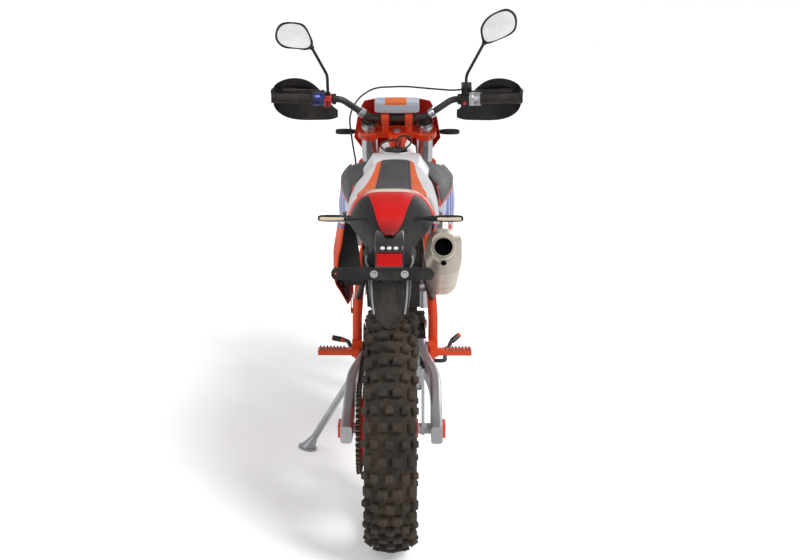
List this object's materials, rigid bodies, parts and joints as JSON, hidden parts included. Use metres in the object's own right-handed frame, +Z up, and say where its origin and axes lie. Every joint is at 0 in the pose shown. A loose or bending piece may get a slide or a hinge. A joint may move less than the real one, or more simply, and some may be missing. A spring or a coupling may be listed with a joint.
{
  "type": "enduro dirt bike",
  "caption": "Off-road motorcycle with knobbly tyres, handguards and mirrors, parked leaning to its left on its side stand; wheels, steering and stand move.",
  "frame": {"origin": "centre of the bounding box at ground level", "axes": "+Y forward along the motorcycle, +X to the rider's right, +Z up"},
  "size_m": [0.849, 2.1718, 1.4894],
  "materials": {
    "frame_orange": "gloss",
    "black_metal": "satin",
    "silver_metal": "satin",
    "steel": "satin",
    "warm_titanium": "satin",
    "black_plastic": "matte",
    "grey_plastic": "matte",
    "white_plastic": "gloss",
    "orange_plastic": "gloss",
    "red_plastic": "gloss",
    "seat_cover": "matte",
    "tyre": "matte",
    "rubber": "matte",
    "lamp_lens": "gloss"
  },
  "bodies": {
    "chassis": {"airbox": "black_plastic", "brake_pedal": "black_metal", "chain": "steel", "crankcase": "black_metal", "cylinder": "silver_metal", "drive_cover": "black_plastic", "drive_sprocket": "steel", "exhaust": "steel", "footpegs": "frame_orange", "frame": "frame_orange", "muffler": "warm_titanium", "plate_bracket": "black_plastic", "radiators": "silver_metal", "rear_axle": "frame_orange", "rear_caliper": "silver_metal", "rear_fender": "red_plastic", "rear_indicators": "black_plastic", "seat": "seat_cover", "shift_lever": "black_metal", "shock": "frame_orange", "shrouds": "white_plastic", "side_panel_left": "white_plastic", "side_panel_right": "white_plastic", "stand_strap": "rubber", "subframe": "black_metal", "swingarm": "silver_metal", "tail_lamp": "lamp_lens", "tank": "white_plastic", "tank_cap": "black_plastic", "vent_hose": "rubber"},
    "rear_wheel": {"rear_tyre": "tyre", "rear_rim": "black_metal", "rear_hub": "frame_orange", "rear_disc": "steel", "rear_sprocket": "frame_orange"},
    "front_wheel": {"front_tyre": "tyre", "front_rim": "black_metal", "front_hub": "frame_orange", "front_disc": "steel"},
    "steering": {"triple_clamps": "frame_orange", "fork_tubes": "silver_metal", "fork_legs": "steel", "front_axle": "frame_orange", "front_caliper": "silver_metal", "front_fender": "white_plastic", "headlight_mask": "orange_plastic", "headlight": "lamp_lens", "front_indicators": "black_plastic", "handlebar": "black_metal", "grips": "rubber", "bar_pad": "grey_plastic", "bar_controls": "black_metal", "handguards": "black_plastic", "mirrors": "black_plastic", "brake_hose": "rubber"},
    "side_stand": {"side_stand": "silver_metal"}
  },
  "joints": [
    {"name": "steering_turn", "type": "hinge", "parent": "chassis", "child": "steering", "pos_m": [0.05705, 0.40124, 0.88245], "axis": [-0.1784, -0.4462, 0.877], "range_deg": [-42, 42]},
    {"name": "front_wheel_turn", "type": "hinge", "parent": "steering", "child": "front_wheel", "pos_m": [0.16634, 0.73603, 0.34524], "axis": [0.9799, 0, 0.1994], "continuous": true},
    {"name": "rear_wheel_turn", "type": "hinge", "parent": "chassis", "child": "rear_wheel", "pos_m": [0.16834, -0.74597, 0.33544], "axis": [0.9799, 0, 0.1994], "continuous": true},
    {"name": "side_stand_fold", "type": "hinge", "parent": "chassis", "child": "side_stand", "pos_m": [0.0465, -0.17097, 0.29228], "axis": [0.986, 0.1494, 0.0745], "range_deg": [-102.2, 0]}
  ]
}
